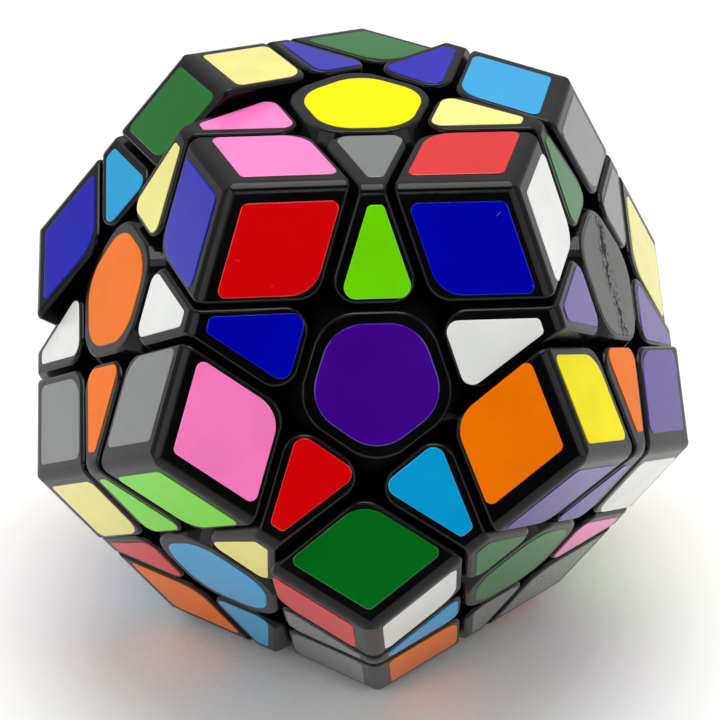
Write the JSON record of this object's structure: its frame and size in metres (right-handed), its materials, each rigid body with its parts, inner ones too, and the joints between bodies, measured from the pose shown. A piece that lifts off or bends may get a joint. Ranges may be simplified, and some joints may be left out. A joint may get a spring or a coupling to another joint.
{
  "type": "dodecahedron twisty puzzle",
  "caption": "Handheld twelve-sided turning puzzle in black plastic with coloured stickers; layers of corner, edge and centre pieces turn about axes through the faces.",
  "frame": {"origin": "centre of the core, where all the turning axes meet", "axes": "+Z out of the top face's centre, -Z out of the bottom face's centre, -Y on the side of the front face, +X to the right of someone facing it"},
  "size_m": [0.0806, 0.0847, 0.0734],
  "materials": {
    "black_plastic": "satin moulded black plastic",
    "core_plastic": "moulded dark plastic",
    "screw_steel": "zinc plated steel",
    "sticker_yellow": "glossy vinyl film",
    "sticker_purple": "glossy vinyl film",
    "sticker_white": "glossy vinyl film",
    "sticker_blue": "glossy vinyl film",
    "sticker_light_green": "glossy vinyl film",
    "sticker_orange": "glossy vinyl film",
    "sticker_dark_green": "glossy vinyl film",
    "sticker_light_blue": "glossy vinyl film",
    "sticker_grey": "glossy vinyl film",
    "sticker_red": "glossy vinyl film",
    "sticker_pink": "glossy vinyl film",
    "sticker_cream": "glossy vinyl film",
    "sticker_worn": "glossy vinyl film"
  },
  "bodies": {
    "puzzle_body": {"centre_bottom": "black_plastic", "centre_front": "black_plastic", "centre_left": "black_plastic", "centre_lower_front_left": "black_plastic", "centre_rear_right": "black_plastic", "centre_right": "black_plastic", "centre_top": "black_plastic", "core": "core_plastic", "corner_f_l_lfl": "black_plastic", "corner_l_ll_lfl": "black_plastic", "corner_lb_ll_d": "black_plastic", "corner_ll_lfl_d": "black_plastic", "corner_lr_lb_d": "black_plastic", "corner_r_rr_lr": "black_plastic", "corner_rr_lr_lb": "black_plastic", "corner_u_f_l": "black_plastic", "corner_u_f_r": "black_plastic", "corner_u_r_rr": "black_plastic", "edge_f_l": "black_plastic", "edge_f_lfl": "black_plastic", "edge_f_r": "black_plastic", "edge_l_lfl": "black_plastic", "edge_l_ll": "black_plastic", "edge_lb_d": "black_plastic", "edge_lb_ll": "black_plastic", "edge_lfl_d": "black_plastic", "edge_ll_d": "black_plastic", "edge_ll_lfl": "black_plastic", "edge_lr_d": "black_plastic", "edge_lr_lb": "black_plastic", "edge_r_lr": "black_plastic", "edge_r_rr": "black_plastic", "edge_rr_lb": "black_plastic", "edge_rr_lr": "black_plastic", "edge_u_f": "black_plastic", "edge_u_l": "black_plastic", "edge_u_r": "black_plastic", "edge_u_rr": "black_plastic"},
    "rear_left_layer": {"centre_rear_left": "black_plastic", "corner_rl_l_ll": "black_plastic", "corner_rl_lb_ll": "black_plastic", "corner_rr_rl_lb": "black_plastic", "corner_u_rl_l": "black_plastic", "corner_u_rr_rl": "black_plastic", "edge_rl_l": "black_plastic", "edge_rl_lb": "black_plastic", "edge_rl_ll": "black_plastic", "edge_rr_rl": "black_plastic", "edge_u_rl": "black_plastic"},
    "lower_front_right_layer": {"centre_lower_front_right": "black_plastic", "corner_f_lfr_lfl": "black_plastic", "corner_f_r_lfr": "black_plastic", "corner_lfr_lfl_d": "black_plastic", "corner_lfr_lr_d": "black_plastic", "corner_r_lfr_lr": "black_plastic", "edge_f_lfr": "black_plastic", "edge_lfr_d": "black_plastic", "edge_lfr_lfl": "black_plastic", "edge_lfr_lr": "black_plastic", "edge_r_lfr": "black_plastic"}
  },
  "joints": [
    {"name": "rear_left_turn", "type": "hinge", "parent": "puzzle_body", "child": "rear_left_layer", "pos_m": [0, 0, 0], "axis": [-0.5257, 0.7236, 0.4472], "continuous": true},
    {"name": "lower_front_right_turn", "type": "hinge", "parent": "puzzle_body", "child": "lower_front_right_layer", "pos_m": [0, 0, 0], "axis": [0.5257, -0.7236, -0.4472], "continuous": true}
  ]
}
